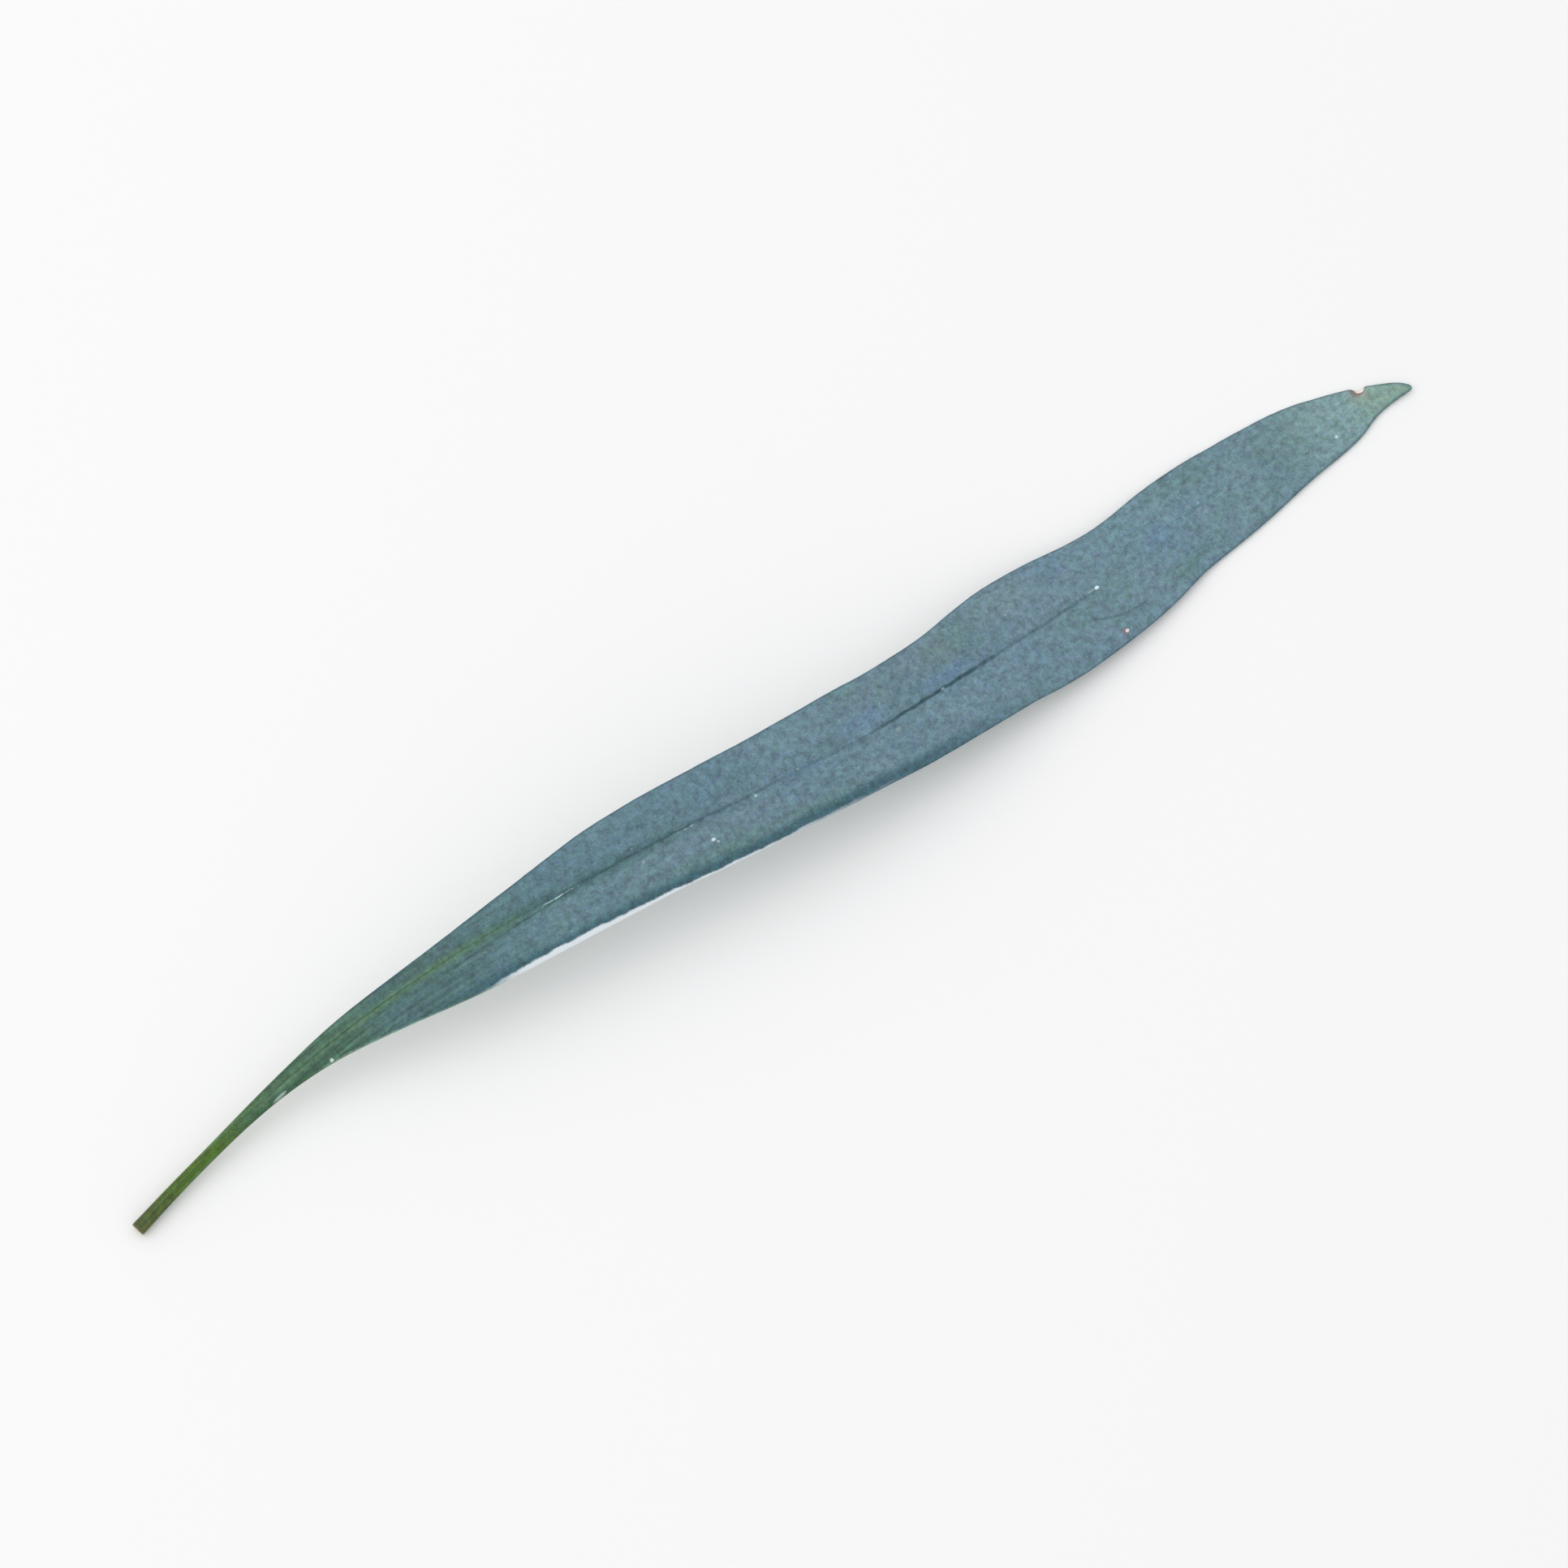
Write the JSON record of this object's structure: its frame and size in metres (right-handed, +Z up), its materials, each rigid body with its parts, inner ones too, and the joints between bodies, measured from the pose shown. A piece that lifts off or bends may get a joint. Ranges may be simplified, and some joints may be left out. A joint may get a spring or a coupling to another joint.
{
  "type": "fern frond",
  "caption": "Strap-shaped leathery fern frond, picked with its stalk and lying face up, with a sunken midrib and gently waved edges.",
  "frame": {"origin": "on the surface that the frond lies on, under the middle of its bounding box", "axes": "+X runs along the frond from the cut end of the stalk to the tip, +Y to the frond's left, +Z up, away from the surface"},
  "size_m": [0.1482, 0.0132, 0.0093],
  "materials": {
    "leaf_skin": "matte blue-green leaf skin with a fine pale speckle, darker along the midrib, pale green stalk"
  },
  "bodies": {
    "root": {"frond": "leaf_skin"}
  },
  "joints": []
}
